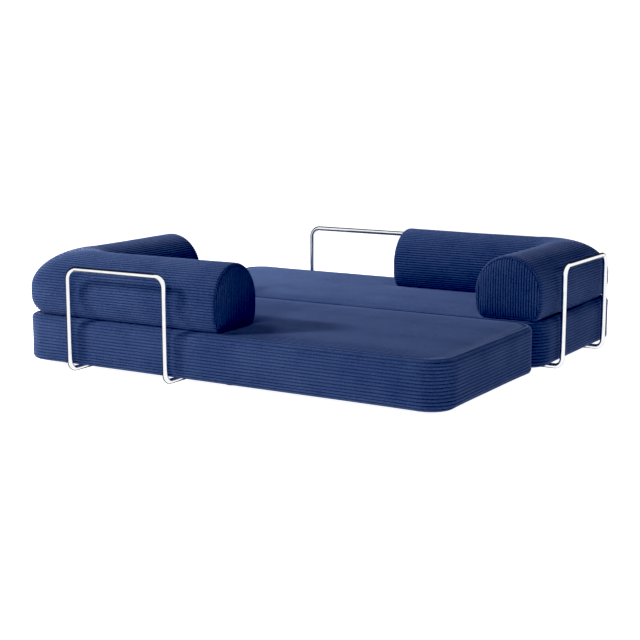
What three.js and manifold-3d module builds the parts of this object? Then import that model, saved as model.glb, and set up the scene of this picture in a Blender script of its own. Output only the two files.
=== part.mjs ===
// A futon sofa bed laid out as a bed: two mattresses side by side, an L-shaped bolster on the outer corner
// of each, and three bent steel loops whose feet reach under the mattresses.
// Millimetres, +Z up. The origin is on the floor, in the middle of the footprint.
import * as THREE from "three";
import { mergeVertices } from "three/addons/utils/BufferGeometryUtils.js";
import Module from "manifold-3d";

const wasm = await Module();
wasm.setup();

// Mattresses
const bedLength = 2000;
const bedWidth = 1800;
const mattressGap = 6;
const mattressWidth = (bedWidth - mattressGap) / 2;
const mattressThickness = 196;
const mattressCorner = 105;
const mattressEdge = 20;
const coverThickness = 2.5;
const boardThickness = 12;
const comfortThickness = 40;

// Feet under each mattress, with a threaded boss that goes through the cover into the board
const footHeight = 24;
const footRadius = 25;
const bossRadius = 4;
const bossLength = 9;
const footSetBackX = 150;
const footSetBackY = 125;

// Bolsters
const bolsterWidth = 300;
const bolsterHeight = 266;
const bolsterSideHeight = 115;
const bolsterTuck = 30;
const longLeg = 986;
const shortLeg = 864;
const bolsterCorner = 100;
const bolsterValley = 6;
const bolsterSetBack = 6;

// Steel loops
const tubeRadius = 11;
const tubeWall = 1.5;
const topBend = 45;
const footBend = 32;
const loopStandOff = 28;
const loopBarHeight = 436;
const loopFootLength = 300;
const armLoopWidth = 496;
const backLoopWidth = 1320;
const frontLoopCentre = -463;
const rightLoopCentre = 431;

// Zips
const zipHeight = 10;
const zipThickness = 1;
const zipOffset = 45;
const mattressZipLength = 1500;
const bolsterZipLength = 420;

// Room left between pieces that touch
const clearance = 0.4;

// Steps round a bolster's corner
const roundSteps = 5;

const colours = {
  corduroy: 0x1c2f66,
  foam: 0xe8e0c4,
  softFoam: 0xf3efe2,
  plywood: 0xc9a878,
  chrome: 0xd4d7da,
  blackPlastic: 0x1a1a1c,
  zipTape: 0x18264f,
  zipMetal: 0xa9acb0,
};

function finish(colour, roughness, metalness = 0) {
  return new THREE.MeshStandardMaterial({ color: colour, roughness, metalness });
}

function piece(name, geometry, material) {
  const mesh = new THREE.Mesh(geometry, material);
  mesh.name = name;
  return mesh;
}

// A geometry as a manifold solid, and back.
function solid(geometry) {
  const flat = geometry.index ? geometry.toNonIndexed() : geometry;
  const bare = new THREE.BufferGeometry().setAttribute("position", flat.getAttribute("position"));
  const merged = mergeVertices(bare, 1e-3);
  return new wasm.Manifold(
    new wasm.Mesh({
      numProp: 3,
      vertProperties: merged.getAttribute("position").array,
      triVerts: new Uint32Array(merged.index.array),
    }),
  );
}

function geometryOf(body) {
  const mesh = body.getMesh();
  const geometry = new THREE.BufferGeometry();
  geometry.setAttribute("position", new THREE.BufferAttribute(mesh.vertProperties, 3));
  geometry.setIndex(new THREE.BufferAttribute(mesh.triVerts, 1));
  return geometry;
}

function roundedRectangle(length, width, radius) {
  const x = length / 2 - radius;
  const y = width / 2 - radius;
  const shape = new THREE.Shape();
  shape.absarc(x, y, radius, 0, Math.PI / 2);
  shape.absarc(-x, y, radius, Math.PI / 2, Math.PI);
  shape.absarc(-x, -y, radius, Math.PI, 1.5 * Math.PI);
  shape.absarc(x, -y, radius, 1.5 * Math.PI, 2 * Math.PI);
  return shape;
}

// A slab with round corners in plan and rounded top and bottom edges, standing on z = 0.
function slab(length, width, thickness, corner, edge) {
  return new THREE.ExtrudeGeometry(roundedRectangle(length, width, corner), {
    depth: thickness - 2 * edge,
    bevelEnabled: true,
    bevelSize: edge,
    bevelOffset: -edge,
    bevelThickness: edge,
    bevelSegments: 2,
    curveSegments: 3,
  }).translate(0, 0, edge);
}

function uprightCylinder(radius, height) {
  return new THREE.CylinderGeometry(radius, radius, height, 10).rotateX(Math.PI / 2);
}

// ---- Mattress, in a frame of its own: centred on x and y, cover underside at z = 0, zip on its +Y side ----

function footPlaces() {
  const x = bedLength / 2 - footSetBackX;
  const y = mattressWidth / 2 - footSetBackY;
  return [-x, 0, x].flatMap((across) => [-y, y].map((along) => [across, along]));
}

function drillFeet(body) {
  const drill = uprightCylinder(bossRadius + clearance, 100);
  return footPlaces().reduce(
    (rest, [x, y]) => rest.subtract(solid(drill.clone().translate(x, y, 0))),
    body,
  );
}

function insetSlab(inset, bottom, top, edge) {
  return slab(
    bedLength - 2 * inset,
    mattressWidth - 2 * inset,
    top - bottom,
    mattressCorner - inset,
    edge,
  ).translate(0, 0, bottom);
}

function mattressCover() {
  const outside = solid(insetSlab(0, 0, mattressThickness, mattressEdge));
  const inside = solid(
    insetSlab(
      coverThickness,
      coverThickness,
      mattressThickness - coverThickness,
      mattressEdge - coverThickness,
    ),
  );
  const slot = new THREE.BoxGeometry(mattressZipLength, 3 * coverThickness, zipHeight);
  slot.translate(0, mattressWidth / 2 - coverThickness, zipOffset);
  return geometryOf(drillFeet(outside.subtract(inside)).subtract(solid(slot)));
}

function mattressBoard() {
  const inset = mattressEdge + clearance;
  const board = new THREE.ExtrudeGeometry(
    roundedRectangle(bedLength - 2 * inset, mattressWidth - 2 * inset, mattressCorner - inset),
    { depth: boardThickness, bevelEnabled: false, curveSegments: 3 },
  ).translate(0, 0, coverThickness + clearance);
  return geometryOf(drillFeet(solid(board)));
}

function foot() {
  const profile = [
    [0, 0],
    [footRadius - 3, 0],
    [footRadius, 3],
    [footRadius - 1, footHeight - clearance],
    [bossRadius, footHeight - clearance],
    [bossRadius, footHeight + bossLength],
    [0, footHeight + bossLength],
  ].map(([radius, height]) => new THREE.Vector2(radius, height));
  return new THREE.LatheGeometry(profile, 10).rotateX(Math.PI / 2);
}

// ---- Zips: a tape that lies in a slot of the cover, and a slider with its pull tab on the outside ----

// The tape runs along x with its outer face on y = 0.
function zipTape(length) {
  return new THREE.BoxGeometry(
    length - 2 * clearance,
    zipThickness,
    zipHeight - 2 * clearance,
  ).translate(0, -zipThickness / 2, 0);
}

// The slider stands on the tape, towards +Y, with its pull tab along +X.
function zipSlider() {
  const body = new THREE.ExtrudeGeometry(roundedRectangle(15, 8, 2.5), {
    depth: 2.2,
    bevelEnabled: false,
    curveSegments: 2,
  });
  const tab = new THREE.ExtrudeGeometry(roundedRectangle(30, 5, 2), {
    depth: 1,
    bevelEnabled: false,
    curveSegments: 2,
  }).translate(16, 0, 1.8);
  const slider = solid(body).add(solid(tab));
  return geometryOf(slider).rotateX(-Math.PI / 2).translate(0, clearance, 0);
}

function zip(prefix, length, flip) {
  const group = new THREE.Group();
  group.add(piece(`${prefix}_zip_tape`, zipTape(length), finish(colours.zipTape, 0.8)));
  const slider = piece(`${prefix}_zip_slider`, zipSlider(), finish(colours.zipMetal, 0.3, 1));
  slider.position.x = (flip ? 1 : -1) * (length / 2 - 50);
  slider.rotation.y = flip ? Math.PI : 0;
  group.add(slider);
  return group;
}

function mattress(prefix) {
  const group = new THREE.Group();
  const coreBottom = coverThickness + boardThickness + 2 * clearance;
  const comfortTop = mattressThickness - coverThickness - clearance;
  const comfortBottom = comfortTop - comfortThickness;
  const foamInset = coverThickness + clearance;
  group.add(
    piece(`${prefix}_mattress_cover`, mattressCover(), finish(colours.corduroy, 0.9)),
    piece(`${prefix}_base_board`, mattressBoard(), finish(colours.plywood, 0.6)),
    piece(
      `${prefix}_foam_core`,
      insetSlab(foamInset + 1, coreBottom, comfortBottom - clearance, 6),
      finish(colours.foam, 0.95),
    ),
    piece(
      `${prefix}_comfort_layer`,
      insetSlab(foamInset, comfortBottom, comfortTop, mattressEdge - foamInset + 0.5),
      finish(colours.softFoam, 0.95),
    ),
  );
  footPlaces().forEach(([x, y], index) => {
    const each = piece(`${prefix}_foot_${index + 1}`, foot(), finish(colours.blackPlastic, 0.5));
    each.position.set(x, y, -footHeight);
    group.add(each);
  });
  const zipper = zip(`${prefix}_mattress`, mattressZipLength, false);
  zipper.position.set(0, mattressWidth / 2 - 1, zipOffset);
  group.add(zipper);
  return group;
}

// ---- Bolster, in a frame of its own: outer corner at the origin, long leg along +X, short leg along +Y ----

// The legs' section: an arch on upright sides with tucked-in lower edges. x is the distance in from the
// outer side and y is the height.
function archSection(inset) {
  const tuck = bolsterTuck - inset;
  const left = inset;
  const right = bolsterWidth - inset;
  const crown = bolsterWidth / 2 - inset;
  const section = new THREE.Shape();
  section.absarc(right - tuck, inset + tuck, tuck, 1.5 * Math.PI, 2 * Math.PI);
  section.absellipse(
    bolsterWidth / 2,
    bolsterSideHeight,
    crown,
    bolsterHeight - inset - bolsterSideHeight,
    0,
    Math.PI,
  );
  section.absarc(left + tuck, inset + tuck, tuck, Math.PI, 1.5 * Math.PI);
  return section;
}

// The corner's plan radius for a line that runs the given distance in from the outer side.
function cornerRadiusAt(distance) {
  const half = bolsterWidth / 2;
  const inner = Math.max(0, distance - half) / half;
  return bolsterCorner + (bolsterValley - bolsterCorner) * inner;
}

// Where a line at that distance in lies at a station: 0 is the short leg's end, the last is the long
// leg's end, and those between go round the corner.
function planPoint(distance, station, inset) {
  if (station < 0.5) return [distance, shortLeg - inset];
  if (station > roundSteps + 1.5) return [longLeg - inset, distance];
  const radius = cornerRadiusAt(distance);
  const angle = Math.PI + ((station - 1) / roundSteps) * (Math.PI / 2);
  const centre = distance + radius;
  return [centre + radius * Math.cos(angle), centre + radius * Math.sin(angle)];
}

// The L is the arch section extruded in one step for each station, and each step is then moved to its
// station.
function bolsterSolid(inset) {
  const stations = roundSteps + 2;
  const geometry = new THREE.ExtrudeGeometry(archSection(inset), {
    depth: stations,
    steps: stations,
    bevelEnabled: false,
    curveSegments: 5,
  });
  const position = geometry.getAttribute("position");
  for (let i = 0; i < position.count; i++) {
    const [x, y] = planPoint(position.getX(i), Math.round(position.getZ(i)), inset);
    position.setXYZ(i, x, y, position.getY(i));
  }
  return solid(geometry);
}

function bolsterCover() {
  const zipCentre = (bolsterWidth + shortLeg) / 2;
  const slot = new THREE.BoxGeometry(3 * coverThickness, bolsterZipLength, zipHeight);
  slot.translate(bolsterWidth - coverThickness, zipCentre, zipOffset);
  return geometryOf(
    bolsterSolid(0).subtract(bolsterSolid(coverThickness)).subtract(solid(slot)),
  );
}

// The foam of one leg, cut to a mitre where the two legs meet.
function bolsterFoam(isLong) {
  const reach = 2 * longLeg;
  const gap = clearance / 2;
  const corners = isLong
    ? [new THREE.Vector2(gap, -gap), new THREE.Vector2(reach, -gap), new THREE.Vector2(reach, reach - 2 * gap)]
    : [new THREE.Vector2(-gap, gap), new THREE.Vector2(reach - 2 * gap, reach), new THREE.Vector2(-gap, reach)];
  const wedge = new THREE.ExtrudeGeometry(new THREE.Shape(corners), {
    depth: 2 * bolsterHeight,
    bevelEnabled: false,
  }).translate(0, 0, -bolsterHeight / 2);
  return geometryOf(bolsterSolid(coverThickness + clearance).intersect(solid(wedge)));
}

function bolster(prefix) {
  const group = new THREE.Group();
  group.add(
    piece(`${prefix}_bolster_cover`, bolsterCover(), finish(colours.corduroy, 0.9)),
    piece(`${prefix}_bolster_long_foam`, bolsterFoam(true), finish(colours.foam, 0.95)),
    piece(`${prefix}_bolster_short_foam`, bolsterFoam(false), finish(colours.foam, 0.95)),
  );
  const zipper = zip(`${prefix}_bolster`, bolsterZipLength, true);
  zipper.rotation.z = -Math.PI / 2;
  zipper.position.set(bolsterWidth - 1, (bolsterWidth + shortLeg) / 2, zipOffset);
  group.add(zipper);
  return group;
}

// ---- Steel loops, in a frame of their own: upright in the plane y = 0, centred on x, feet along +Y ----

// A path of straight runs joined by round bends. Its parameter counts the ends of the runs and the steps
// round each bend, so that a straight run takes one step however long it is.
class BentPath extends THREE.Curve {
  constructor(corners, radii, stepsPerBend) {
    super();
    const last = corners.length - 1;
    this.places = [corners[0]];
    this.tangents = [new THREE.Vector3().subVectors(corners[1], corners[0]).normalize()];
    for (let i = 1; i < last; i++) {
      const into = new THREE.Vector3().subVectors(corners[i], corners[i - 1]).normalize();
      const out = new THREE.Vector3().subVectors(corners[i + 1], corners[i]).normalize();
      const radius = radii[i - 1];
      const start = corners[i].clone().addScaledVector(into, -radius);
      for (let step = 0; step <= stepsPerBend; step++) {
        const angle = (step / stepsPerBend) * (Math.PI / 2);
        this.places.push(
          start
            .clone()
            .addScaledVector(into, radius * Math.sin(angle))
            .addScaledVector(out, radius * (1 - Math.cos(angle))),
        );
        this.tangents.push(
          new THREE.Vector3()
            .addScaledVector(into, Math.cos(angle))
            .addScaledVector(out, Math.sin(angle)),
        );
      }
    }
    this.places.push(corners[last]);
    this.tangents.push(
      new THREE.Vector3().subVectors(corners[last], corners[last - 1]).normalize(),
    );
  }

  get steps() {
    return this.places.length - 1;
  }

  getPoint(t) {
    return this.places[Math.round(t * this.steps)].clone();
  }

  getTangent(t) {
    return this.tangents[Math.round(t * this.steps)].clone();
  }

  getUtoTmapping(u) {
    return u;
  }
}

function loopTube(width) {
  const x = width / 2;
  const corners = [
    [-x, loopFootLength, tubeRadius],
    [-x, 0, tubeRadius],
    [-x, 0, loopBarHeight],
    [x, 0, loopBarHeight],
    [x, 0, tubeRadius],
    [x, loopFootLength, tubeRadius],
  ].map((place) => new THREE.Vector3(...place));
  const path = new BentPath(corners, [footBend, topBend, topBend, footBend], 4);
  const section = new THREE.Shape().absarc(0, 0, tubeRadius, 0, 2 * Math.PI);
  section.holes.push(new THREE.Path().absarc(0, 0, tubeRadius - tubeWall, 0, 2 * Math.PI));
  return new THREE.ExtrudeGeometry(section, {
    steps: path.steps,
    extrudePath: path,
    curveSegments: 6,
  });
}

function endPlug() {
  const profile = [
    [0, -12],
    [tubeRadius - tubeWall - 2 * clearance, -12],
    [tubeRadius - tubeWall - 2 * clearance, clearance],
    [tubeRadius - 0.5, clearance],
    [tubeRadius - 0.5, 2],
    [0, 4],
  ].map(([radius, height]) => new THREE.Vector2(radius, height));
  return new THREE.LatheGeometry(profile, 10);
}

function loop(prefix, width) {
  const group = new THREE.Group();
  group.add(piece(`${prefix}_loop_tube`, loopTube(width), finish(colours.chrome, 0.12, 1)));
  [-1, 1].forEach((side, index) => {
    const plug = piece(
      `${prefix}_loop_plug_${index + 1}`,
      endPlug(),
      finish(colours.blackPlastic, 0.5),
    );
    plug.position.set((side * width) / 2, loopFootLength, tubeRadius);
    group.add(plug);
  });
  return group;
}

// ---- The whole bed ----

function place(group, x, y, z, turn) {
  group.position.set(x, y, z);
  group.rotation.z = turn;
  return group;
}

const halfLength = bedLength / 2;
const halfWidth = bedWidth / 2;
const mattressCentre = (mattressWidth + mattressGap) / 2;
const bolsterBase = footHeight + mattressThickness + clearance;
const bolsterX = halfLength - bolsterSetBack;
const bolsterY = halfWidth - bolsterSetBack;

const bed = new THREE.Group();
bed.add(
  place(mattress("front"), 0, -mattressCentre, footHeight, 0),
  place(mattress("back"), 0, mattressCentre, footHeight, Math.PI),
  place(bolster("left"), -bolsterX, -bolsterY, bolsterBase, 0),
  place(bolster("right"), bolsterX, bolsterY, bolsterBase, Math.PI),
  place(loop("front", armLoopWidth), frontLoopCentre, -halfWidth - loopStandOff, 0, 0),
  place(loop("right", armLoopWidth), halfLength + loopStandOff, rightLoopCentre, 0, Math.PI / 2),
  place(loop("back", backLoopWidth), 0, halfWidth + loopStandOff, 0, Math.PI),
);

// Only the right end has a loop outside it, so the bed's own middle lies a little to the left of the
// footprint's middle.
bed.position.x = -(loopStandOff + tubeRadius) / 2;

const futonSofaBed = new THREE.Group();
futonSofaBed.add(bed);

export default futonSofaBed;
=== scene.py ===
"""The looks of a futon sofa bed laid out as a bed: two mattresses and two L-shaped bolsters in wide-wale
corduroy, and three loops of chromed steel tube. Metres, +Z up, in the CAD model's own frame."""

import math

import bpy
import numpy as np
from mathutils import Euler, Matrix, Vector

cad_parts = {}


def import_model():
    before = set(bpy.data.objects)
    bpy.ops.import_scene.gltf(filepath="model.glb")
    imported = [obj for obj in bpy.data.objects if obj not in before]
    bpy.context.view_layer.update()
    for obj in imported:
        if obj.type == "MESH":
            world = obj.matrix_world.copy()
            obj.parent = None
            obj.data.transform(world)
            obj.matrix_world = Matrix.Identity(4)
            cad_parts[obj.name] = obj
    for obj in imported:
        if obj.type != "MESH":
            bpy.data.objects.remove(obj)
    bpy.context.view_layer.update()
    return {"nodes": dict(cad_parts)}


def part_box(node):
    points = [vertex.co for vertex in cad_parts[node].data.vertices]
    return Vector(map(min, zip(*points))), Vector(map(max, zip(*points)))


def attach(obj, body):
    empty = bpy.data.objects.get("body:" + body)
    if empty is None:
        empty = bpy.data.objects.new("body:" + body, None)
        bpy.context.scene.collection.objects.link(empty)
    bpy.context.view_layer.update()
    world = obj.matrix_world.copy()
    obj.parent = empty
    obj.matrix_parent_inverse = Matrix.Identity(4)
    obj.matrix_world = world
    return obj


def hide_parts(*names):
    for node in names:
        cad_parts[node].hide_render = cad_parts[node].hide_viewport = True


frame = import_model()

# Corduroy
MATTRESS_PITCH = 0.0132  # from rib to rib
BOLSTER_PITCH = 0.0114
RIB_DEPTH = 0.0033
RIB_SAMPLES = 6  # rows of points to a rib
SEAM_DEPTH = 0.0028
COLUMN_STEP = 0.026  # between points along a rib

# The cloth that the foam blows up
CLOTH_PRESSURE = 5
CLOTH_FRAMES = 20

# Mattresses
MATTRESS_CORNER = 0.105  # radius in plan
CORNER_ARC_STEPS = 14
MATTRESS_EDGE = 0.020  # radius of the upper and lower edges
SEAM_SET_IN = 0.003  # from the edge's rounding to the seam
PANEL_SEAM_WIDTH = 0.004
BOTTOM_ROWS = 12
COARSE_BAND_ROWS = 12
COARSE_PANEL_ROWS = 34
TOP_CROWN = 0.011  # most that the cloth may move
SIDE_CROWN = 0.004
SIDE_LIFT = 0.0012  # how far the ribs stand out from the CAD side
MATTRESS_UNEVENNESS = 0.0008
ROOM_TO_TWIN = 0.0022  # how far the inner side may swell towards the other mattress
BESIDE_BOLSTER = 0.015

# Bolsters
BOLSTER_WIDTH = 0.300
SIDE_HEIGHT = 0.108  # where the arch starts
TUCK = 0.036  # how far in, and how high, the lower edges are rounded
TUCK_RISE = 0.076
SIDE_CORNER = 0.086  # radius in plan of the L's corner at the outer side, the crest and the inner side
CREST_CORNER = 0.160
VALLEY_CORNER = 0.006
CORNER_STEPS = 18
CORNER_ROOM = 0.02
END_ROUND = 0.015
END_SEAM_ANGLE = math.radians(55)  # how far round the end's edge its seam lies
END_SEAM_GAP = 0.001
END_SEAM_WIDTH = 0.003
END_DOME = 0.004
END_PROUD = 0.012  # how far the ends stand out past the CAD ones
END_ROWS = 24
OUTLINE_STEPS = 400
RESTING_HEIGHT = 0.006  # the cloth below this stays on the mattress
BOLSTER_SWELL = 0.014  # most that the cloth may move
END_SWELL = 0.004
BOLSTER_LIFT = 0.0012  # how far the ribs stand out from the CAD surface
BOLSTER_UNEVENNESS = 0.0012
CREST_RISE = 0.002  # how far the crest rises past the CAD one

# Foam blocks inside the covers
FOAM_VOXEL = 0.012
FOAM_SET_IN = 0.012

# Zips, as the CAD model holds them
ZIP_HEIGHT = 0.045
ZIP_RECESS = 0.0032
ZIP_REACH = 0.012  # the cloth this near to the zip's side is set back
ZIP_HALF_WIDTH = 0.0062
MATTRESS_ZIP_HALF = 0.752
BOLSTER_ZIP_HALF = 0.212

# Steel loops
TUBE_RADIUS = 0.011
TUBE_WALL = 0.0015
TUBE_SIDES = 32
TOP_BEND = 0.045  # radius at the top bar's ends, and at the feet
FOOT_BEND = 0.032
BEND_STEPS = 14

# The camera, its lens in millimetres, and what the lights aim at
CAMERA_PLACE = (3.0483, -5.1741, 1.2053)
CAMERA_PITCH = math.radians(10.0)
CAMERA_TURN = math.radians(31.1)
SENSOR_WIDTH = 36
FOCAL_LENGTH = 76.82625
LIGHT_AIM = Vector((-0.1, -0.2, 0.2))

# The direction in which shining things see the surround dark
DARK_SIDE = (-0.866, 0.5, 0)


# ---------------------------------------------------------------- surfaces built from grids of points


class Shell:
    """A closed surface gathered from grids of points and the strips that sew them together."""

    def __init__(self):
        self.points = []
        self.ribs = []
        self.faces = []

    def grid(self, points, ribs, wrap=False, flip=False):
        """Adds a grid (rows, columns, 3). wrap joins its last column to its first."""
        rows, columns = points.shape[:2]
        index = len(self.points) + np.arange(rows * columns).reshape(rows, columns)
        self.points.extend(points.reshape(-1, 3))
        self.ribs.extend(np.broadcast_to(ribs, (rows, columns)).ravel())
        ring = np.concatenate([index, index[:, :1]], axis=1) if wrap else index
        quads = np.stack([ring[:-1, :-1], ring[:-1, 1:], ring[1:, 1:], ring[1:, :-1]], axis=-1)
        quads = quads.reshape(-1, 4)
        self.faces.extend((quads[:, ::-1] if flip else quads).tolist())
        return index

    def fractions(self, loop):
        """How far along the closed loop each of its vertices lies, from 0 to 1."""
        places = np.array([self.points[i] for i in loop] + [self.points[loop[0]]])
        steps = np.linalg.norm(np.diff(places, axis=0), axis=1)
        along = np.concatenate([[0], np.cumsum(steps)])
        return along / along[-1]

    def strip(self, first, second, flip=False):
        """Sews two closed loops together. Both start at the same corner and run the same way."""
        along_first, along_second = self.fractions(first), self.fractions(second)
        i = j = 0
        while i < len(first) or j < len(second):
            at_first, at_second = first[i % len(first)], second[j % len(second)]
            if j == len(second) or (i < len(first) and along_first[i + 1] <= along_second[j + 1]):
                i += 1
                face = [at_first, first[i % len(first)], at_second]
            else:
                j += 1
                face = [at_first, second[j % len(second)], at_second]
            self.faces.append([int(k) for k in (face[::-1] if flip else face)])


def rim(index):
    """The border of a grid's index array, as a loop that runs from its first row's start to its end,
    up the last column, back along the last row and down the first column."""
    return np.concatenate([index[0, :-1], index[:-1, -1], index[-1, :0:-1], index[:0:-1, 0]])


def rib_height(along, pitch):
    """How high the pile stands, from 0 in a groove to 1 on a rib, at a distance across the ribs."""
    across = 2 * np.mod(along / pitch, 1) - 1
    return np.sqrt(np.clip(1 - across**2, 0, 1))


def rib_rows(width, pitch):
    """How many rows of points it takes to draw the ribs across that width."""
    return round(width / pitch) * RIB_SAMPLES + 1


def resample(values, count, closed=False):
    """Values (rows, columns, 3) read at count even places along the rows, by a smooth curve through them."""
    size = len(values)
    at = np.arange(count) * size / count if closed else np.linspace(0, size - 1, count)
    base = np.floor(at).astype(int) if closed else np.minimum(np.floor(at).astype(int), size - 2)
    t = (at - base)[:, None, None]

    def pick(step):
        return values[(base + step) % size] if closed else values[np.clip(base + step, 0, size - 1)]

    a, b, c, d = (pick(step) for step in (-1, 0, 1, 2))
    return b + 0.5 * t * (c - a + t * (2 * a - 5 * b + 4 * c - d + t * (3 * (b - c) + d - a)))


def drift(points, wavelength, seed):
    """A slow unevenness between -1 and 1 over the surface, as hand-sewn cloth over foam has."""
    random = np.random.default_rng(seed)
    total = np.zeros(points.shape[:-1])
    waves = 7
    for _ in range(waves):
        direction = random.normal(size=3)
        direction /= np.linalg.norm(direction)
        length = wavelength * random.uniform(0.6, 1.6)
        total += np.sin(points @ direction * (2 * math.pi / length) + random.uniform(0, 2 * math.pi))
    return total / waves


def capped(move, limit):
    """Moves with their length held below limit, smoothly."""
    distance = np.linalg.norm(move, axis=-1, keepdims=True) + 1e-9
    return move / distance * limit * np.tanh(distance / limit)


def add_cloth(obj, held):
    """Makes the object a stretchy cloth under pressure from inside, with its held points fixed."""
    obj.vertex_groups.new(name="held").add([int(i) for i in held], 1.0, "REPLACE")
    settings = obj.modifiers.new("cloth", "CLOTH").settings
    settings.quality = 6
    settings.mass = 0.4
    settings.tension_stiffness = 20
    settings.compression_stiffness = 20
    settings.shear_stiffness = 8
    settings.bending_stiffness = 2
    settings.vertex_group_mass = "held"
    settings.use_pressure = True
    settings.uniform_pressure_force = CLOTH_PRESSURE
    settings.effector_weights.gravity = 0


def swell(shell, held):
    """Blows a closed cloth up with its held points fixed. Returns how far each point moves."""
    rest = np.array(shell.points)
    mesh = bpy.data.meshes.new("cloth")
    mesh.from_pydata(rest.tolist(), [], shell.faces)
    cloth = bpy.data.objects.new("cloth", mesh)
    scene = bpy.context.scene
    scene.collection.objects.link(cloth)
    add_cloth(cloth, held)
    for number in range(1, CLOTH_FRAMES + 1):
        scene.frame_set(number)
    moved = np.empty(len(rest) * 3, np.float32)
    cloth.evaluated_get(bpy.context.evaluated_depsgraph_get()).data.vertices.foreach_get("co", moved)
    scene.frame_set(1)
    bpy.data.objects.remove(cloth)
    bpy.data.meshes.remove(mesh)
    return moved.reshape(-1, 3) - rest


def open_zip_recess(points, axis, face, middle, half_length):
    """Sets the cover back round its zip. The zip lies on the side at face on that axis, 0 for x or 1 for y,
    and runs along the other one."""
    recess = np.abs(points[:, axis] - face) < ZIP_REACH
    recess &= np.abs(points[:, 2] - ZIP_HEIGHT) < ZIP_HALF_WIDTH
    recess &= np.abs(points[:, 1 - axis] - middle) < half_length
    points[recess, axis] = face - ZIP_RECESS


def shell_object(name, shell, material):
    """The shell as a smooth object, with its rib heights as an attribute for the material, which paints
    shade into the grooves from them.
    """
    mesh = bpy.data.meshes.new(name)
    mesh.from_pydata(np.array(shell.points).tolist(), [], shell.faces)
    mesh.polygons.foreach_set("use_smooth", np.ones(len(mesh.polygons), bool))
    ribs = mesh.attributes.new("rib", "FLOAT", "POINT")
    ribs.data.foreach_set("value", np.array(shell.ribs, np.float32))
    mesh.materials.append(material)
    obj = bpy.data.objects.new(name, mesh)
    bpy.context.scene.collection.objects.link(obj)
    return obj


def cushion(body, node, shell, material):
    """A corduroy cover in the place of a CAD one, named as the body it rides."""
    obj = shell_object(body, shell, material)
    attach(obj, body)
    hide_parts(node)


# ---------------------------------------------------------------- mattresses


def rounded_outline(length, width, corner):
    """Points round a rounded rectangle and their outward normals, anticlockwise from the start of its
    -Y side."""
    x, y = length / 2 - corner, width / 2 - corner
    ends = [np.array(end) for end in ((-x, -y), (x, -y), (x, y), (-x, y), (-x, -y))]
    quarter = math.radians(90)
    points, normals = [], []
    for side, (start, end) in enumerate(zip(ends, ends[1:])):
        angle = math.radians(90 * side - 90)
        steps = round(np.linalg.norm(end - start) / COLUMN_STEP)
        places = [(start + (end - start) * step / steps, angle) for step in range(steps)]
        places += [(end, angle + quarter * step / CORNER_ARC_STEPS) for step in range(CORNER_ARC_STEPS)]
        for place, facing in places:
            normal = np.array([math.cos(facing), math.sin(facing)])
            points.append(place + corner * normal)
            normals.append(normal)
    return np.array(points), np.array(normals)


def band_length(thickness):
    """How long the side band is from seam to seam."""
    return 2 * (SEAM_SET_IN + MATTRESS_EDGE * math.pi / 2) + thickness - 2 * MATTRESS_EDGE


def band_profile(thickness, count):
    """The side band from its lower seam to its upper one, at even steps of length: the length along, how
    far in from the side, the height, and the outward direction."""
    edge, flat = MATTRESS_EDGE, SEAM_SET_IN
    total = band_length(thickness)
    along = np.linspace(0, total, count)
    from_seam = np.minimum(along, total - along)
    angle = np.clip((from_seam - flat) / edge, 0, math.pi / 2)
    beyond = np.maximum(from_seam - flat - edge * math.pi / 2, 0)
    inset = edge * (1 - np.sin(angle)) + np.maximum(flat - from_seam, 0)
    height = edge * (1 - np.cos(angle)) + beyond
    upper = along > total / 2
    height = np.where(upper, thickness - height, height)
    up = np.where(upper, np.cos(angle), -np.cos(angle))
    return along, inset, height, np.sin(angle), up


def mattress_band(size, count, ribbed):
    """The side band as a grid: a row for each place on the profile, a column for each on the outline."""
    length, width, thickness = size
    outline, normals = rounded_outline(length, width, MATTRESS_CORNER)
    along, inset, height, out, up = band_profile(thickness, count)
    ribs = rib_height(along, MATTRESS_PITCH)
    lift = SIDE_LIFT * out
    if ribbed:
        lift = lift - RIB_DEPTH * (1 - ribs)
    plan = outline[None] + normals[None] * (lift * out - inset)[:, None, None]
    level = np.broadcast_to((height + lift * up)[:, None], plan.shape[:2])
    return np.dstack([plan, level]), np.broadcast_to(ribs[:, None], plan.shape[:2])


def mattress_panel(size, count, ribbed, top):
    """The top or bottom panel as a grid: a row for each place across the ribs, which run along x."""
    length, width, thickness = size
    set_in = MATTRESS_EDGE + SEAM_SET_IN
    half_x, half_y, corner = length / 2 - set_in, width / 2 - set_in, MATTRESS_CORNER - set_in
    across = np.linspace(-half_y, half_y, count)
    over = np.clip((np.abs(across) - (half_y - corner)) / corner, 0, 1)
    reach = half_x - corner + corner * np.sqrt(1 - over**2)
    columns = round(2 * half_x / COLUMN_STEP)
    x = reach[:, None] * np.linspace(-1, 1, columns)[None]
    y = np.broadcast_to(across[:, None], x.shape)
    ribs = np.broadcast_to(rib_height(across + half_y, MATTRESS_PITCH)[:, None], x.shape)
    inside = np.minimum(reach[:, None] - np.abs(x), half_y - np.abs(y))
    seam = np.exp(-((inside / PANEL_SEAM_WIDTH) ** 2))
    depth = SEAM_DEPTH * seam
    if ribbed:
        depth = np.maximum(depth, RIB_DEPTH * (1 - ribs))
    z = thickness - depth if top else depth
    # Painted shade: along the seam the rib value falls to 0, which gives the seam the grooves' dark colour.
    return np.dstack([x, y, z]), ribs * (1 - seam)


def mattress_shell(size, band_count, panel_count, ribbed, moves=(0, 0, 0)):
    """The mattress cover, on z = 0 and centred on x and y. moves shifts its three grids' points."""
    grids = [
        mattress_panel(size, BOTTOM_ROWS, False, top=False),
        mattress_band(size, band_count, ribbed),
        mattress_panel(size, panel_count, ribbed, top=True),
    ]
    shell = Shell()
    grids = [(points + move, ribs) for (points, ribs), move in zip(grids, moves)]
    bottom = shell.grid(*grids[0], flip=True)
    band = shell.grid(*grids[1], wrap=True)
    top = shell.grid(*grids[2])
    shell.strip(rim(bottom), band[0], flip=True)
    shell.strip(band[-1], rim(top))
    return shell, (bottom, band, top)


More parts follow.
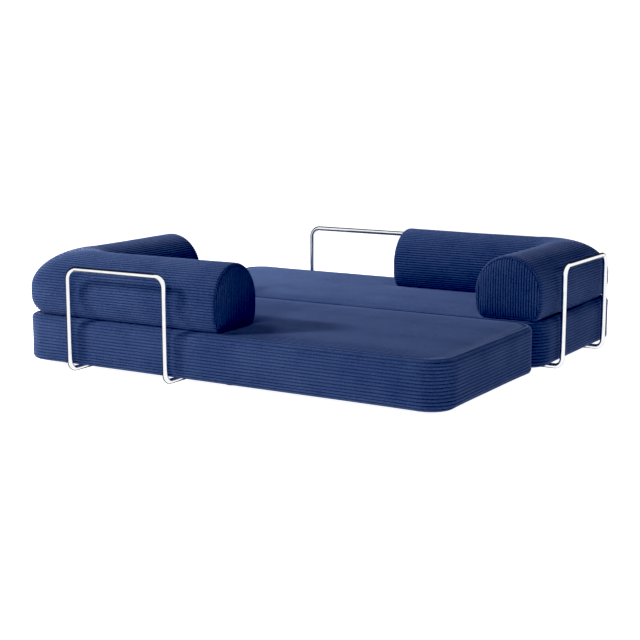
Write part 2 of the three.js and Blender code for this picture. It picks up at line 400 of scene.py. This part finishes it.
def under_bolster(points, corner, reaches):
    """Whether each point lies under the L of a bolster with that outer corner, or close beside it."""
    x, y = points[..., 0] - corner[0], points[..., 1] - corner[1]
    near_side = BOLSTER_WIDTH + BESIDE_BOLSTER
    long_leg = (x < reaches[0] + BESIDE_BOLSTER) & (y < near_side)
    short_leg = (x < near_side) & (y < reaches[1] + BESIDE_BOLSTER)
    return long_leg | short_leg


def mattress_moves(size, corner, reaches, band_count, panel_count):
    """How far the cover moves when the foam fills it, from a coarse cloth that is held at its seams,
    underneath and where the bolster rests."""
    shell, (bottom, band, top) = mattress_shell(size, COARSE_BAND_ROWS, COARSE_PANEL_ROWS, ribbed=False)
    points = np.array(shell.points)
    resting = top[under_bolster(points[top], corner, reaches)]
    held = np.concatenate([bottom.ravel(), band[0], band[-1], rim(top), resting])
    move = swell(shell, held)
    side = capped(resample(move[band], band_count), SIDE_CROWN)
    return 0, side, capped(resample(move[top], panel_count), TOP_CROWN)


def loosen_mattress(points, sides, upper, free, seed):
    """Gives the sides and the free part of the top a slight unevenness. The sides move outwards, for a
    shape about twice as long as it is wide."""
    outward = points[sides, :2] / np.linalg.norm(points[sides, :2] * [0.5, 1], axis=1, keepdims=True)
    points[sides, :2] += MATTRESS_UNEVENNESS * outward * drift(points[sides], 0.4, seed)[:, None]
    points[upper, 2] += MATTRESS_UNEVENNESS * free * drift(points[upper], 0.5, seed + 1)


def mattress(name, bolster_name, turned, nap_and_painted_shade, seed, material):
    """One mattress cover. A turned one is the same thing turned half a circle about z. How light its top
    looks,
    from 0 to 1, is painted shade: it darkens the whole top's colour, standing in for pile brushed towards
    you."""
    node = f"{name}_cover"
    low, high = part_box(node)
    centre = (low + high) / 2
    size = tuple(high - low)
    bolster_low, bolster_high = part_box(f"{bolster_name}_cover")
    corner = (centre - bolster_high) if turned else (bolster_low - centre)
    reaches = tuple(bolster_high - bolster_low)[:2]
    band_count = rib_rows(band_length(size[2]), MATTRESS_PITCH)
    panel_count = rib_rows(size[1] - 2 * (MATTRESS_EDGE + SEAM_SET_IN), MATTRESS_PITCH)
    moves = mattress_moves(size, corner, reaches, band_count, panel_count)
    shell, (_, band, top) = mattress_shell(size, band_count, panel_count, True, moves)
    shell.ribs = np.array(shell.ribs)
    # Painted shade: scaling the top's rib values down darkens the whole top.
    shell.ribs[top] *= nap_and_painted_shade
    points = np.array(shell.points)
    sides, upper = band.ravel(), top.ravel()
    free = ~under_bolster(points[upper], corner, reaches)
    loosen_mattress(points, sides, upper, free, seed)
    inner_side = size[1] / 2
    points[:, 1] = np.minimum(points[:, 1], inner_side + ROOM_TO_TWIN)
    open_zip_recess(points, 1, inner_side, 0, MATTRESS_ZIP_HALF)
    if turned:
        points[:, :2] *= -1
    shell.points = points + np.array([centre.x, centre.y, low.z])
    cushion(name, node, shell, material)


# ---------------------------------------------------------------- bolsters


def arch_outline(height, count):
    """The leg's section at even steps of length, anticlockwise from the middle of its underside: points
    (distance in from the outer side, height), outward normals and the length along."""
    quarter = np.linspace(0, math.pi / 2, 40)[:, None]
    half = np.linspace(0, math.pi, 160)[:, None]
    crest = BOLSTER_WIDTH / 2
    middle = np.array([[crest, 0.0]])
    tuck = np.array([TUCK, TUCK_RISE])
    right_tuck = [BOLSTER_WIDTH - TUCK, TUCK_RISE] + tuck * np.hstack([np.sin(quarter), -np.cos(quarter)])
    radii = np.array([crest, height - SIDE_HEIGHT])
    arch = [crest, SIDE_HEIGHT] + radii * np.hstack([np.cos(half), np.sin(half)])
    left_tuck = tuck - tuck * np.hstack([np.cos(quarter), np.sin(quarter)])
    path = np.concatenate([middle, right_tuck, arch, left_tuck, middle])
    lengths = np.concatenate([[0], np.cumsum(np.linalg.norm(np.diff(path, axis=0), axis=1))])
    along = np.arange(count) * lengths[-1] / count
    points = np.stack([np.interp(along, lengths, path[:, axis]) for axis in (0, 1)], axis=1)
    tangent = np.roll(points, -1, axis=0) - np.roll(points, 1, axis=0)
    tangent /= np.linalg.norm(tangent, axis=1, keepdims=True)
    return points, np.stack([tangent[:, 1], -tangent[:, 0]], axis=1), along


def corner_radius(distance):
    """The plan radius of the corner for a line that far in from the outer side."""
    half = BOLSTER_WIDTH / 2
    share = np.clip(distance / half, 0, 2)
    outer = SIDE_CORNER + (CREST_CORNER - SIDE_CORNER) * np.sin(np.minimum(share, 1) * math.pi / 2)
    return outer + (VALLEY_CORNER - outer) * np.maximum(share - 1, 0)


def stations(long_leg, short_leg):
    """Where the section stands along the L, from the short leg's end to the long leg's end: which leg,
    how far along it or round the corner, and how far the section is drawn in at a rounded end."""
    angles = np.linspace(END_SEAM_ANGLE, 0, 5)
    rounding = [(END_ROUND * (1 - math.sin(a)), END_ROUND * (1 - math.cos(a))) for a in angles]
    corner_end = BOLSTER_WIDTH + CORNER_ROOM
    short_count, long_count = (round((leg - corner_end) / COLUMN_STEP) for leg in (short_leg, long_leg))
    short_places = np.linspace(short_leg - END_ROUND, corner_end, short_count)
    long_places = np.linspace(corner_end, long_leg - END_ROUND, long_count)
    found = [("short", short_leg - back, inset) for back, inset in rounding]
    found += [("short", place, 0.0) for place in short_places[1:]]
    found += [("corner", step / CORNER_STEPS, 0.0) for step in range(CORNER_STEPS + 1)]
    found += [("long", place, 0.0) for place in long_places[:-1]]
    found += [("long", long_leg - back, inset) for back, inset in reversed(rounding)]
    return found


def on_the_l(distance, height, station):
    """A section's points placed at a station of the L, whose outer corner is the origin."""
    leg, place, _ = station
    if leg == "short":
        return np.stack([distance, np.full_like(distance, place), height], axis=-1)
    if leg == "long":
        return np.stack([np.full_like(distance, place), distance, height], axis=-1)
    radius = corner_radius(distance)
    centre = distance + radius
    angle = math.pi + place * math.pi / 2
    return np.stack([centre + radius * math.cos(angle), centre + radius * math.sin(angle), height], axis=-1)


def bolster_body(height, legs, count, ribbed):
    """The cover without its ends: a row for each station, a column for each place round the section."""
    points, normal, along = arch_outline(height, count)
    ribs = rib_height(along, BOLSTER_PITCH)
    lift = BOLSTER_LIFT * np.clip(points[:, 1] / TUCK_RISE, 0, 1)
    if ribbed:
        lift = lift - RIB_DEPTH * (1 - ribs)
    rows = []
    for number, station in enumerate(legs):
        seam = SEAM_DEPTH if number in (0, len(legs) - 1) else 0
        moved = points + normal * (lift - station[2] - seam)[:, None]
        rows.append(on_the_l(moved[:, 0], moved[:, 1], station))
    return np.array(rows), np.broadcast_to(ribs, (len(legs), count))


def end_places(height, across, seam_in):
    """The points of a leg's end, a row for each place across: how far in from the outer side, and the
    height."""
    half = BOLSTER_WIDTH / 2 - seam_in
    from_middle = across - BOLSTER_WIDTH / 2
    into_tuck = np.clip(1 - (half - np.abs(from_middle)) / (TUCK - seam_in), 0, 1)
    bottom = TUCK_RISE - (TUCK_RISE - seam_in) * np.sqrt(1 - into_tuck**2)
    crown = height - SIDE_HEIGHT - seam_in
    top = SIDE_HEIGHT + crown * np.sqrt(np.clip(1 - (from_middle / half) ** 2, 0, 1))
    share = (1 - np.cos(np.linspace(0, math.pi, END_ROWS))) / 2
    z = bottom[:, None] + (top - bottom)[:, None] * share[None]
    return np.broadcast_to(across[:, None], z.shape), z


def end_panel(height, reach, count, ribbed, long_end):
    """The end of a leg as a grid, its ribs upright, rounded over towards its seam."""
    seam_in = END_ROUND * (1 - math.cos(END_SEAM_ANGLE)) + END_SEAM_GAP
    half = BOLSTER_WIDTH / 2 - seam_in
    across = np.linspace(seam_in, BOLSTER_WIDTH - seam_in, count)
    d, z = end_places(height, across, seam_in)
    ribs = np.broadcast_to(rib_height(across - seam_in, BOLSTER_PITCH)[:, None], z.shape)
    outline = arch_outline(height, OUTLINE_STEPS)[0]
    from_edge = np.hypot(d[..., None] - outline[:, 0], z[..., None] - outline[:, 1]).min(axis=-1)
    over = np.clip(1 - from_edge / END_ROUND, 0, 1)
    out = END_ROUND * (np.sqrt(1 - over**2) - 1)
    out = out + END_DOME * np.clip((from_edge - seam_in) / (half - seam_in), 0, 1) ** 0.5
    seam = np.exp(-(((from_edge - seam_in) / END_SEAM_WIDTH) ** 2))
    out = out - SEAM_DEPTH * seam
    if ribbed:
        out = out - RIB_DEPTH * (1 - ribs)
    far = reach + out
    # Painted shade: along the seam the rib value falls to 0, which gives the seam the grooves' dark colour.
    return np.dstack([far, d, z] if long_end else [d, far, z]), ribs * (1 - seam)


def panel_loop(panel):
    """An end panel's border, anticlockwise from the middle of its underside, as the section runs."""
    loop = np.concatenate([panel[:-1, 0], panel[-1, :-1], panel[:0:-1, -1], panel[0, :0:-1]])
    return np.roll(loop, -(len(panel) // 2))


def bolster_shell(height, reaches, ring_count, end_count, ribbed, moves=(0, 0, 0)):
    """The whole cover, with its outer corner at the origin, its long leg along x and short leg along y."""
    long_leg, short_leg = reaches
    grids = [
        bolster_body(height, stations(long_leg, short_leg), ring_count, ribbed),
        end_panel(height, short_leg, end_count, ribbed, long_end=False),
        end_panel(height, long_leg, end_count, ribbed, long_end=True),
    ]
    grids = [(points + move, ribs) for (points, ribs), move in zip(grids, moves)]
    shell = Shell()
    body = shell.grid(*grids[0], wrap=True)
    short_end = shell.grid(*grids[1])
    long_end = shell.grid(*grids[2], flip=True)
    shell.strip(body[0], panel_loop(short_end), flip=True)
    shell.strip(body[-1], panel_loop(long_end))
    return shell, (body, short_end, long_end)


def bolster_moves(height, reaches, ring_ribs, end_ribs):
    """How far the cover moves when the foam fills it, from a coarse cloth that is held at its end seams
    and where it rests."""
    counts = (ring_ribs, end_ribs + 1)
    shell, (body, short_end, long_end) = bolster_shell(height, reaches, *counts, ribbed=False)
    points = np.array(shell.points)
    resting = np.flatnonzero(points[:, 2] < RESTING_HEIGHT)
    held = np.concatenate([resting, panel_loop(short_end), panel_loop(long_end), body[0], body[-1]])
    move = swell(shell, held)
    around = resample(move[body].swapaxes(0, 1), ring_ribs * RIB_SAMPLES, closed=True).swapaxes(0, 1)
    ends = [resample(move[end], end_ribs * RIB_SAMPLES + 1) for end in (short_end, long_end)]
    return capped(around, BOLSTER_SWELL), capped(ends[0], END_SWELL), capped(ends[1], END_SWELL)


def bolster(name, turned, seed, material):
    """One bolster cover. A turned one is the same thing turned half a circle about z."""
    node = f"{name}_cover"
    low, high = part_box(node)
    height = high.z - low.z
    reaches = (high.x - low.x + END_PROUD, high.y - low.y + END_PROUD)
    outline = arch_outline(height, OUTLINE_STEPS)[0]
    around = np.linalg.norm(np.roll(outline, -1, axis=0) - outline, axis=1).sum()
    ring_ribs = round(around / BOLSTER_PITCH)
    end_ribs = round(BOLSTER_WIDTH / BOLSTER_PITCH) - 1
    moves = bolster_moves(height, reaches, ring_ribs, end_ribs)
    counts = (ring_ribs * RIB_SAMPLES, end_ribs * RIB_SAMPLES + 1)
    shell, (body, _, _) = bolster_shell(height, reaches, *counts, True, moves)
    points = np.array(shell.points)
    ring = body.ravel()
    raised = np.clip(points[ring, 2:] / TUCK_RISE - 0.3, 0, 1)
    points[ring] += BOLSTER_UNEVENNESS * raised * drift(points[ring], 0.3, seed)[:, None]
    zip_centre = (BOLSTER_WIDTH + high.y - low.y) / 2
    open_zip_recess(points, 0, BOLSTER_WIDTH, zip_centre, BOLSTER_ZIP_HALF)
    points[:, 2] = np.maximum(points[:, 2], 0) * (height + CREST_RISE) / points[:, 2].max()
    if turned:
        points[:, :2] *= -1
    corner = high if turned else low
    shell.points = points + np.array([corner.x, corner.y, low.z])
    cushion(name, node, shell, material)


# ---------------------------------------------------------------- foam inside the covers


def foam_block(node, body, material):
    """A foam block in the place of a CAD one: its edges softened, and clear of the cover all round."""
    obj = bpy.data.objects.new(f"{node}_block", frame["nodes"][node].data.copy())
    bpy.context.scene.collection.objects.link(obj)
    remesh = obj.modifiers.new("remesh", "REMESH")
    remesh.mode = "VOXEL"
    remesh.voxel_size = FOAM_VOXEL
    soften = obj.modifiers.new("soften", "SMOOTH")
    soften.iterations = 6
    shrink = obj.modifiers.new("shrink", "DISPLACE")
    shrink.strength = -FOAM_SET_IN
    shrink.mid_level = 0
    mesh = bpy.data.meshes.new_from_object(obj.evaluated_get(bpy.context.evaluated_depsgraph_get()))
    obj.modifiers.clear()
    obj.data = mesh
    mesh.materials.clear()
    mesh.materials.append(material)
    mesh.polygons.foreach_set("use_smooth", np.ones(len(mesh.polygons), bool))
    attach(obj, body)
    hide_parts(node)


# ---------------------------------------------------------------- steel loops


def bent_path(corners, radii):
    """Places and directions along straight runs joined by round bends."""
    places = [corners[0]]
    directions = [(corners[1] - corners[0]).normalized()]
    for i, radius in enumerate(radii, start=1):
        into = (corners[i] - corners[i - 1]).normalized()
        out = (corners[i + 1] - corners[i]).normalized()
        start = corners[i] - into * radius
        for step in range(BEND_STEPS + 1):
            angle = math.pi / 2 * step / BEND_STEPS
            places.append(start + into * radius * math.sin(angle) + out * radius * (1 - math.cos(angle)))
            directions.append(into * math.cos(angle) + out * math.sin(angle))
    places.append(corners[-1])
    directions.append((corners[-1] - corners[-2]).normalized())
    return places, directions


def tube_rings(places, directions, radius):
    """A ring of points round each place, carried along the path without twist."""
    across = Vector((1, 0, 0)) if abs(directions[0].x) < 0.9 else Vector((0, 0, 1))
    rings = []
    previous = directions[0]
    for place, direction in zip(places, directions):
        across = previous.rotation_difference(direction) @ across
        across = (across - direction * across.dot(direction)).normalized()
        other = direction.cross(across)
        previous = direction
        turns = [2 * math.pi * k / TUBE_SIDES for k in range(TUBE_SIDES)]
        rings.append([place + (across * math.cos(a) + other * math.sin(a)) * radius for a in turns])
    return np.array([[list(p) for p in ring] for ring in rings])


def loop_corners(node, facing):
    """The corners of a loop's centre line, from the end of one foot over the top bar to the other's."""
    low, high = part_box(node)
    size = high - low
    along = Vector((facing.y, -facing.x, 0))
    half_width = 0.5 * abs(size.dot(along)) - TUBE_RADIUS
    foot = abs(size.dot(facing)) - TUBE_RADIUS
    to_plane = 0.5 * abs(size.dot(facing)) - TUBE_RADIUS
    centre = Vector(((low.x + high.x) / 2, (low.y + high.y) / 2, 0)) - facing * to_plane
    leg = [(foot, TUBE_RADIUS), (0, TUBE_RADIUS), (0, high.z - TUBE_RADIUS)]
    first = [centre - along * half_width + facing * out + Vector((0, 0, up)) for out, up in leg]
    second = [centre + along * half_width + facing * out + Vector((0, 0, up)) for out, up in reversed(leg)]
    return first + second


def steel_loop(body, facing, material):
    """One loop of tube. facing is the direction in which its feet run, under the mattress."""
    node = f"{body}_tube"
    places, directions = bent_path(loop_corners(node, facing), (FOOT_BEND, TOP_BEND, TOP_BEND, FOOT_BEND))
    shell = Shell()
    outer = shell.grid(tube_rings(places, directions, TUBE_RADIUS), 0, wrap=True)
    inner = shell.grid(tube_rings(places, directions, TUBE_RADIUS - TUBE_WALL), 0, wrap=True, flip=True)
    shell.strip(outer[0], inner[0], flip=True)
    shell.strip(outer[-1], inner[-1])
    obj = shell_object(body, shell, material)
    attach(obj, body)
    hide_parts(node)


# ---------------------------------------------------------------- materials


def new_material(name):
    """A material, its node tree and its Principled shader."""
    material = bpy.data.materials.new(name)
    material.use_nodes = True
    tree = material.node_tree
    return material, tree, tree.nodes["Principled BSDF"]


def connect(tree, node, inputs):
    """Sets each named input of a node: to a plain value, or by a link from another node's output."""
    for name, value in inputs.items():
        if isinstance(value, bpy.types.NodeSocket):
            tree.links.new(value, node.inputs[name])
        else:
            node.inputs[name].default_value = value


def object_place(tree):
    """The place in the piece's own coordinates, in metres."""
    return tree.nodes.new("ShaderNodeTexCoord").outputs["Object"]


def noise(tree, scale, detail=2, roughness=0.5, stretch=(1, 1, 1)):
    """A noise of so many cells a metre in the piece's own coordinates."""
    mapping = tree.nodes.new("ShaderNodeMapping")
    connect(tree, mapping, {"Vector": object_place(tree), "Scale": stretch})
    node = tree.nodes.new("ShaderNodeTexNoise")
    vector = mapping.outputs["Vector"]
    connect(tree, node, {"Vector": vector, "Scale": scale, "Detail": detail, "Roughness": roughness})
    return node.outputs["Fac"]


def ramp(tree, source, *stops):
    """A colour that follows source through stops of (place, colour)."""
    node = tree.nodes.new("ShaderNodeValToRGB")
    elements = node.color_ramp.elements
    while len(elements) < len(stops):
        elements.new(0.5)
    for element, (place, colour) in zip(elements, stops):
        element.position = place
        element.color = (*colour, 1)
    tree.links.new(source, node.inputs["Fac"])
    return node.outputs["Color"]


def multiply(tree, first, second):
    """The product of two colours."""
    node = tree.nodes.new("ShaderNodeMix")
    node.data_type = "RGBA"
    node.blend_type = "MULTIPLY"
    sockets = {socket.identifier: socket for socket in node.inputs}
    sockets["Factor_Float"].default_value = 1
    tree.links.new(first, sockets["A_Color"])
    tree.links.new(second, sockets["B_Color"])
    return next(socket for socket in node.outputs if socket.identifier == "Result_Color")


def bump(tree, height, distance, strength, under=None):
    """A normal pushed about by height, on top of another bump if one is given."""
    node = tree.nodes.new("ShaderNodeBump")
    connect(tree, node, {"Height": height, "Distance": distance, "Strength": strength})
    if under is not None:
        tree.links.new(under, node.inputs["Normal"])
    return node.outputs["Normal"]


def between(tree, source, start, end, span=(0, 1)):
    """A number that goes from start to end while source goes through the span."""
    node = tree.nodes.new("ShaderNodeMapRange")
    connect(tree, node, {"Value": source, "To Min": start, "To Max": end})
    connect(tree, node, {"From Min": span[0], "From Max": span[1]})
    return node.outputs["Result"]


def corduroy():
    """Navy cotton corduroy: painted shade darkens its grooves and a painted highlight lightens its crests,
    with a mottled pile and a soft sheen.
    """
    material, tree, shader = new_material("corduroy")
    rib = tree.nodes.new("ShaderNodeAttribute")
    rib.attribute_name = "rib"
    # Painted shade and highlight: the colour runs from dark in the grooves to light on the crests, by the
    # rib attribute.
    groove, flank, crest = (0.011, 0.018, 0.048), (0.027, 0.044, 0.112), (0.047, 0.076, 0.178)
    pile = ramp(tree, rib.outputs["Fac"], (0.0, groove), (0.55, flank), (1.0, crest))
    clouds = noise(tree, 6, detail=4, roughness=0.6)
    shade = ramp(tree, clouds, (0.3, (0.80, 0.82, 0.86)), (0.7, (1.14, 1.12, 1.08)))
    nap_and_painted_shade = noise(tree, 200, detail=4, roughness=0.8)
    speckle = ramp(tree, nap_and_painted_shade, (0.34, (0.52, 0.55, 0.60)), (0.66, (1.55, 1.50, 1.42)))
    tufts = bump(tree, noise(tree, 260), 0.0008, 0.6)
    fibres = bump(tree, noise(tree, 900, roughness=0.6), 0.0004, 0.5, under=tufts)
    connect(tree, shader, {
        "Base Color": multiply(tree, multiply(tree, pile, shade), speckle),
        "Roughness": 0.85,
        "Specular IOR Level": 0.05,
        "Sheen Weight": 0.35,
        "Sheen Roughness": 0.45,
        "Sheen Tint": (0.47, 0.60, 1.0, 1),
        "Normal": fibres,
    })
    return material


def chrome():
    """Polished chrome plate with a faint ripple and a few cloudy touches."""
    material, tree, shader = new_material("chrome")
    touched = noise(tree, 30, detail=5, roughness=0.65)
    connect(tree, shader, {
        "Metallic": 1.0,
        "Base Color": ramp(tree, touched, (0.3, (0.80, 0.81, 0.83)), (0.7, (0.90, 0.91, 0.92))),
        "Roughness": between(tree, touched, 0.03, 0.08),
        "Normal": bump(tree, noise(tree, 60), 0.0002, 0.05),
    })
    return material


def moulded_plastic():
    """Black moulded plastic with a fine spark texture."""
    material, tree, shader = new_material("black_plastic")
    grain = noise(tree, 1500)
    connect(tree, shader, {
        "Base Color": ramp(tree, grain, (0.3, (0.010, 0.010, 0.011)), (0.7, (0.022, 0.022, 0.024))),
        "Roughness": 0.5,
        "Normal": bump(tree, grain, 0.0002, 0.5),
    })
    return material


def foam(name, light, dark):
    """Open-cell foam: pale and full of pores."""
    material, tree, shader = new_material(name)
    cells = tree.nodes.new("ShaderNodeTexVoronoi")
    connect(tree, cells, {"Vector": object_place(tree), "Scale": 700})
    depth = cells.outputs["Distance"]
    connect(tree, shader, {
        "Base Color": ramp(tree, depth, (0.0, dark), (0.5, light)),
        "Roughness": 0.95,
        "Normal": bump(tree, depth, 0.0008, 0.8),
    })
    return material


def plywood():
    """Birch plywood: long stretched grain and a satin surface."""
    material, tree, shader = new_material("plywood")
    grain = noise(tree, 40, detail=6, roughness=0.6, stretch=(0.06, 1.0, 1.0))
    late, middle, early = (0.42, 0.26, 0.12), (0.60, 0.42, 0.23), (0.70, 0.53, 0.32)
    connect(tree, shader, {
        "Base Color": ramp(tree, grain, (0.3, late), (0.55, middle), (0.8, early)),
        "Roughness": 0.55,
        "Normal": bump(tree, grain, 0.0004, 0.4),
    })
    return material


def zip_cloth():
    """The zip's woven tape, in a navy a little darker than the cover."""
    material, tree, shader = new_material("zip_tape")
    weave = tree.nodes.new("ShaderNodeTexWave")
    weave.bands_direction = "DIAGONAL"
    connect(tree, weave, {"Vector": object_place(tree), "Scale": 400, "Distortion": 1.5})
    thread = weave.outputs["Fac"]
    connect(tree, shader, {
        "Base Color": ramp(tree, thread, (0.2, (0.005, 0.012, 0.048)), (0.8, (0.012, 0.028, 0.095))),
        "Roughness": 0.8,
        "Normal": bump(tree, thread, 0.0002, 0.6),
    })
    return material


def zip_metal():
    """The zip slider: nickel-plated die casting, slightly worn."""
    material, tree, shader = new_material("zip_metal")
    worn = noise(tree, 500, detail=4, roughness=0.6)
    connect(tree, shader, {
        "Metallic": 1.0,
        "Base Color": ramp(tree, worn, (0.3, (0.42, 0.42, 0.43)), (0.7, (0.62, 0.62, 0.63))),
        "Roughness": 0.3,
        "Normal": bump(tree, worn, 0.0001, 0.4),
    })
    return material


# ---------------------------------------------------------------- the stage


def camera():
    """The camera at the photo's viewing angle: a long lens, a little above and to the right."""
    data = bpy.data.cameras.new("camera")
    data.sensor_width = SENSOR_WIDTH
    data.lens = FOCAL_LENGTH
    data.clip_end = 50
    obj = bpy.data.objects.new("camera", data)
    obj.location = CAMERA_PLACE
    obj.rotation_euler = Euler((math.radians(90) - CAMERA_PITCH, 0, CAMERA_TURN))
    bpy.context.scene.collection.objects.link(obj)
    bpy.context.scene.camera = obj


def floor():
    """A wide pale floor, just under the feet. It glows: brightly to the eye and less on the cloth."""
    mesh = bpy.data.meshes.new("floor")
    far = 30
    mesh.from_pydata([(-far, -far, 0), (far, -far, 0), (far, far, 0), (-far, far, 0)], [], [(0, 1, 2, 3)])
    material, tree, shader = new_material("floor")
    ray = tree.nodes.new("ShaderNodeLightPath")
    connect(tree, shader, {
        "Base Color": (0.8, 0.8, 0.8, 1),
        "Roughness": 0.8,
        "Emission Color": (1, 1, 1, 1),
        "Emission Strength": between(tree, ray.outputs["Is Diffuse Ray"], 0.93, 0.46),
    })
    mesh.materials.append(material)
    obj = bpy.data.objects.new("floor", mesh)
    obj.location.z = -0.0005
    obj.visible_glossy = False
    bpy.context.scene.collection.objects.link(obj)


def light(name, place, size, power):
    """A round soft box aimed at the sofa, which doesn't show in what shines."""
    data = bpy.data.lights.new(name, "AREA")
    data.shape = "DISK"
    data.size = size
    data.energy = power
    obj = bpy.data.objects.new(name, data)
    obj.location = place
    obj.visible_glossy = False
    obj.rotation_euler = (LIGHT_AIM - obj.location).to_track_quat("-Z", "Y").to_euler()
    bpy.context.scene.collection.objects.link(obj)


def world():
    """A white surround that hardly lights the cloth. What shines sees it dark on one side, behind the sofa
    and to its left, which draws the dark edges along the chromed tubes."""
    made = bpy.data.worlds.new("world")
    made.use_nodes = True
    tree = made.node_tree
    direction = tree.nodes.new("ShaderNodeTexCoord").outputs["Generated"]
    towards_dark = tree.nodes.new("ShaderNodeVectorMath")
    towards_dark.operation = "DOT_PRODUCT"
    towards_dark.inputs[1].default_value = DARK_SIDE
    tree.links.new(direction, towards_dark.inputs[0])
    ray = tree.nodes.new("ShaderNodeLightPath")
    to_shining = between(tree, towards_dark.outputs["Value"], 1.1, 0.03, span=(0.24, 0.36))
    to_pieces = between(tree, ray.outputs["Is Diffuse Ray"], to_shining, 0.02)
    strength = between(tree, ray.outputs["Is Camera Ray"], to_pieces, 1.05)
    connect(tree, tree.nodes["Background"], {"Color": (1, 1, 1, 1), "Strength": strength})
    bpy.context.scene.world = made


def picture():
    """Plain colours, with the deepest shadows let fall to black."""
    settings = bpy.context.scene.view_settings
    settings.view_transform = "Standard"
    settings.use_curve_mapping = True
    settings.curve_mapping.black_level = (0.017, 0.018, 0.007)


# ---------------------------------------------------------------- putting it together


def studio():
    picture()
    camera()
    world()
    floor()
    light("key", (-6.47, -3.87, 4.72), 1.4, 560)
    light("front_fill", (0, -5, 1.8), 1.5, 54)
    light("right_fill", (4.5, 0, 1.8), 1.5, 26)
    light("top_fill", (-2.5, 0.3, 3.0), 1.0, 65)
    light("back_fill", (-2.6, 1.4, 1.0), 1.0, 32)


def covers():
    cloth = corduroy()
    mattress("front_mattress", "left_bolster", turned=False, nap_and_painted_shade=0.66, seed=11, material=cloth)
    mattress("back_mattress", "right_bolster", turned=True, nap_and_painted_shade=1.0, seed=23, material=cloth)
    bolster("left_bolster", turned=False, seed=31, material=cloth)
    bolster("right_bolster", turned=True, seed=43, material=cloth)


def fillings():
    core_foam = foam("foam", (0.80, 0.72, 0.52), (0.55, 0.47, 0.30))
    soft_foam = foam("soft_foam", (0.88, 0.85, 0.75), (0.62, 0.58, 0.46))
    for side in ("front", "back"):
        foam_block(f"{side}_foam_core", f"{side}_mattress", core_foam)
        foam_block(f"{side}_comfort_layer", f"{side}_mattress", soft_foam)
    for side in ("left", "right"):
        for leg in ("long", "short"):
            foam_block(f"{side}_bolster_{leg}_foam", f"{side}_bolster", core_foam)


def loops():
    steel = chrome()
    steel_loop("front_loop", Vector((0, 1, 0)), steel)
    steel_loop("right_loop", Vector((-1, 0, 0)), steel)
    steel_loop("back_loop", Vector((0, -1, 0)), steel)


def carried_over_pieces():
    """Materials for the CAD pieces that stay as they are, by a word in their names."""
    plastic = moulded_plastic()
    materials = {
        "base_board": plywood(),
        "foot": plastic,
        "plug": plastic,
        "zip_tape": zip_cloth(),
        "zip_slider": zip_metal(),
    }
    for name, node in frame["nodes"].items():
        for word, material in materials.items():
            if word in name:
                node.data.materials.clear()
                node.data.materials.append(material)


studio()
covers()
fillings()
loops()
carried_over_pieces()
